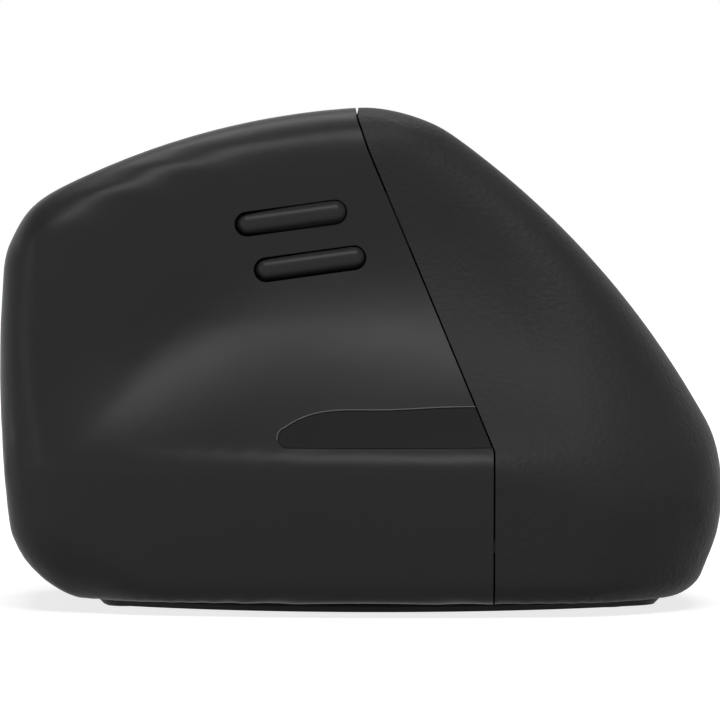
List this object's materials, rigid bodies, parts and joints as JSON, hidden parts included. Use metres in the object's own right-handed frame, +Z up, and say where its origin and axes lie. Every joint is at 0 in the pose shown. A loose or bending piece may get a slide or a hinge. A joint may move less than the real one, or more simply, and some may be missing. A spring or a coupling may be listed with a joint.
{
  "type": "vertical ergonomic mouse",
  "caption": "Right-handed vertical mouse: upright thumb wall with scoop and side buttons, sloped click plates with wheel, soft palm cover, sensor and switches inside.",
  "frame": {"origin": "middle of the footprint, on the desk under the glide feet", "axes": "+X towards the palm end, nose at -X; -Y the thumb side; +Z up"},
  "size_m": [0.1176, 0.0746, 0.0814],
  "materials": {
    "charcoal_abs": "satin, fine moulded grain",
    "soft_cover": "soft-touch with a fine texture",
    "button_plastic": "satin",
    "grip_rubber": "matt rubber",
    "tyre_rubber": "ribbed rubber",
    "hub_plastic": "semi-gloss",
    "steel": "bright",
    "black_base": "fine matt",
    "foot_plastic": "slippery low-friction",
    "inner_plastic": "moulded",
    "board_green": "solder mask",
    "switch_plastic": "moulded",
    "plunger_white": "moulded",
    "chip_resin": "moulded epoxy",
    "clear_lens": "clear",
    "cell_foil": "pouch foil",
    "foam": "foam",
    "lead_red": "insulation",
    "flex_amber": "polyimide film",
    "lamp": "lamp resin"
  },
  "bodies": {
    "housing": {"thumb_panel": "charcoal_abs", "palm_cover": "soft_cover", "bridge_cover": "button_plastic", "finger_skirt": "soft_cover", "thumb_grip": "grip_rubber", "wheel_spring": "steel", "chassis": "inner_plastic", "button_board": "board_green", "side_board": "board_green", "side_screws": "steel", "base_plate": "black_base", "base_screws": "steel", "board_screws": "steel", "main_board": "board_green", "sensor_chip": "chip_resin", "sensor_lens": "clear_lens", "sensor_ring": "black_base", "front_foot": "foot_plastic", "back_foot": "foot_plastic", "power_switch": "switch_plastic", "usb_receptacle": "steel", "battery": "cell_foil", "battery_pad": "foam", "battery_tray": "inner_plastic", "battery_plug": "plunger_white", "battery_leads": "lead_red", "status_light": "clear_lens", "status_led": "lamp", "ribbon_lead": "flex_amber", "side_ribbon": "flex_amber", "left_switch": "switch_plastic", "right_switch": "switch_plastic", "wheel_switch": "switch_plastic", "dpi_switch": "switch_plastic", "forward_switch": "switch_plastic", "back_switch": "switch_plastic", "pairing_switch": "switch_plastic"},
    "left_button": {"left_click_plate": "button_plastic", "left_plunger": "plunger_white"},
    "right_button": {"right_click_plate": "button_plastic", "right_plunger": "plunger_white"},
    "wheel_mount": {"wheel_carriage": "inner_plastic", "wheel_encoder": "inner_plastic", "wheel_plunger": "plunger_white"},
    "wheel": {"wheel_tyre": "tyre_rubber", "wheel_hub": "hub_plastic", "wheel_axle": "steel"},
    "forward_key": {"forward_button": "button_plastic", "forward_plunger": "plunger_white"},
    "back_key": {"back_button": "button_plastic", "back_plunger": "plunger_white"},
    "dpi_key": {"dpi_button": "button_plastic", "dpi_plunger": "plunger_white"},
    "power_slider": {"power_knob": "black_base"},
    "pairing_key": {"pairing_button": "black_base", "pairing_plunger": "plunger_white"}
  },
  "joints": [
    {"name": "left_click", "type": "hinge", "parent": "housing", "child": "left_button", "pos_m": [-0.00788, 0.02517, 0.0482], "axis": [0.0954, -0.4908, 0.866], "range_deg": [0, 1.2], "stiffness_Nm_per_rad": 0.9},
    {"name": "right_click", "type": "hinge", "parent": "housing", "child": "right_button", "pos_m": [-0.00788, 0.02517, 0.0482], "axis": [0.0954, -0.4908, 0.866], "range_deg": [0, 1.2], "stiffness_Nm_per_rad": 0.9},
    {"name": "wheel_click", "type": "slide", "parent": "housing", "child": "wheel_mount", "axis": [0.1652, -0.8501, -0.5], "range_m": [0, 0.0005], "stiffness_N_per_m": 2500},
    {"name": "wheel_spin", "type": "hinge", "parent": "wheel_mount", "child": "wheel", "pos_m": [-0.0436, 0.01064, 0.0439], "axis": [0.0954, -0.4908, 0.866], "continuous": true},
    {"name": "forward_press", "type": "slide", "parent": "housing", "child": "forward_key", "axis": [0, 1, 0], "range_m": [0, 0.0006], "stiffness_N_per_m": 1200},
    {"name": "back_press", "type": "slide", "parent": "housing", "child": "back_key", "axis": [0, 1, 0], "range_m": [0, 0.0006], "stiffness_N_per_m": 1200},
    {"name": "dpi_press", "type": "slide", "parent": "housing", "child": "dpi_key", "axis": [0.1652, -0.8501, -0.5], "range_m": [0, 0.00045], "stiffness_N_per_m": 1200},
    {"name": "power_slide", "type": "slide", "parent": "housing", "child": "power_slider", "axis": [1, 0, 0], "range_m": [0, 0.0025]},
    {"name": "pairing_press", "type": "slide", "parent": "housing", "child": "pairing_key", "axis": [0, 0, 1], "range_m": [0, 0.0004], "stiffness_N_per_m": 1200}
  ]
}
